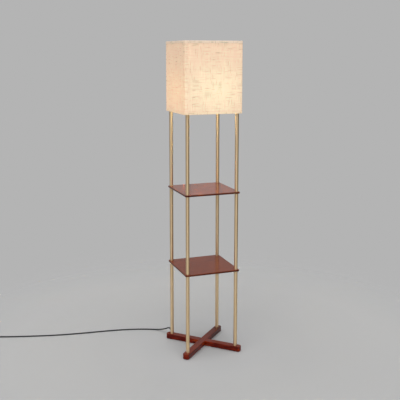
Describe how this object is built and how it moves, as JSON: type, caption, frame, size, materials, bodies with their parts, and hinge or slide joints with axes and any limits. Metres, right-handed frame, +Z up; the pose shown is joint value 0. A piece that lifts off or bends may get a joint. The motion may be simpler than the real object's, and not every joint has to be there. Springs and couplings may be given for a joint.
{
  "type": "floor lamp",
  "caption": "Floor lamp with slim brass posts, two square wooden shelves, a crossed wooden base and a square linen shade that glows from inside",
  "frame": {"origin": "on the floor, under the middle of the crossed base bars, which is also the middle of the shelves and the shade", "axes": "+Z up along the lamp; X and Y parallel to the shelf and shade edges; the base bars lie on the diagonals; the cord leaves the post at -X +Y"},
  "size_m": [1.1658, 0.653, 1.375],
  "materials": {
    "base_wood": "red-brown stained hardwood, satin lacquer",
    "shelf_wood": "mahogany-brown stain under a glossy lacquer",
    "satin_brass": "brushed satin lacquered brass",
    "bracket_brass": "brass-plated sheet steel, satin",
    "screw_brass": "brass-plated screws",
    "zinc_steel": "zinc-plated steel",
    "pad_rubber": "soft dark rubber",
    "holder_shell": "drawn brass shell, satin",
    "holder_block": "heat-resistant white moulding",
    "contact_metal": "bare spring brass",
    "relief_rubber": "matt black rubber",
    "wire_insulation": "heat-resistant wire insulation",
    "cord_sheath": "black flexible sheath, semi-matt",
    "tie_strap": "black hook-and-loop strap",
    "switch_plastic": "black thermoplastic, fine texture",
    "rocker_plastic": "black thermoplastic, semi-gloss",
    "plug_plastic": "black moulded plug, semi-matt",
    "pin_metal": "nickel-plated pins",
    "linen": "slubby natural linen, translucent",
    "linen_band": "folded linen band",
    "liner_plastic": "translucent white lampshade liner",
    "white_wire": "white powder-coated steel wire",
    "bulb_glass": "opal glass",
    "cap_metal": "bare rolled cap",
    "stem_plastic": "white stem",
    "filament": "coated light strips"
  },
  "bodies": {
    "stand": {"base_bar_under": "base_wood", "base_bar_over": "base_wood", "lap_screw": "zinc_steel", "foot_pads": "pad_rubber", "base_bolts": "zinc_steel", "base_washers": "zinc_steel", "lower_post_front_left": "satin_brass", "lower_post_front_right": "satin_brass", "lower_post_back_right": "satin_brass", "lower_post_back_left": "satin_brass", "middle_post_front_left": "satin_brass", "middle_post_front_right": "satin_brass", "middle_post_back_right": "satin_brass", "middle_post_back_left": "satin_brass", "upper_post_front_left": "satin_brass", "upper_post_front_right": "satin_brass", "upper_post_back_right": "satin_brass", "upper_post_back_left": "satin_brass", "post_foot_inserts": "zinc_steel", "shelf_joint_inserts": "zinc_steel", "post_head_inserts": "zinc_steel", "shelf_nipples": "zinc_steel", "lower_shelf": "shelf_wood", "upper_shelf": "shelf_wood", "cross_bracket": "bracket_brass", "bracket_screws": "screw_brass", "holder_nipple": "zinc_steel", "holder_lock_nut": "zinc_steel", "holder_base_cup": "holder_shell", "holder_skirt": "holder_shell", "holder_terminal_block": "holder_block", "holder_thread_shell": "contact_metal", "holder_centre_contact": "contact_metal", "holder_terminal_screws": "zinc_steel", "cord_strain_relief": "relief_rubber", "internal_wires": "wire_insulation", "wire_grommet": "relief_rubber", "cord_lead": "cord_sheath", "cord_tail": "cord_sheath", "cord_coil": "cord_sheath", "cord_end": "cord_sheath", "coil_tie": "tie_strap", "switch_base": "switch_plastic", "switch_cover": "switch_plastic", "switch_screws": "zinc_steel", "switch_contacts": "contact_metal", "plug_body": "plug_plastic", "plug_pins": "pin_metal"},
    "rocker": {"switch_rocker": "rocker_plastic"},
    "shade": {"shade_fabric": "linen", "shade_liner": "liner_plastic", "shade_hem_top": "linen_band", "shade_hem_bottom": "linen_band", "shade_upper_ring": "white_wire", "shade_lower_frame": "white_wire"},
    "bulb": {"bulb_glass": "bulb_glass", "bulb_cap": "cap_metal", "bulb_foot_contact": "contact_metal", "bulb_stem": "stem_plastic", "bulb_filaments": "filament"}
  },
  "joints": [
    {"name": "shade_lift", "type": "slide", "parent": "stand", "child": "shade", "axis": [0, 0, 1], "range_m": [0, 0.32]},
    {"name": "bulb_out", "type": "slide", "parent": "stand", "child": "bulb", "axis": [0, 0, 1], "range_m": [0, 0.15]},
    {"name": "switch_rock", "type": "hinge", "parent": "stand", "child": "rocker", "pos_m": [-0.92367, 0.40877, 0.0122], "axis": [0.2894, 0.9572, 0], "range_deg": [0, 14]}
  ]
}
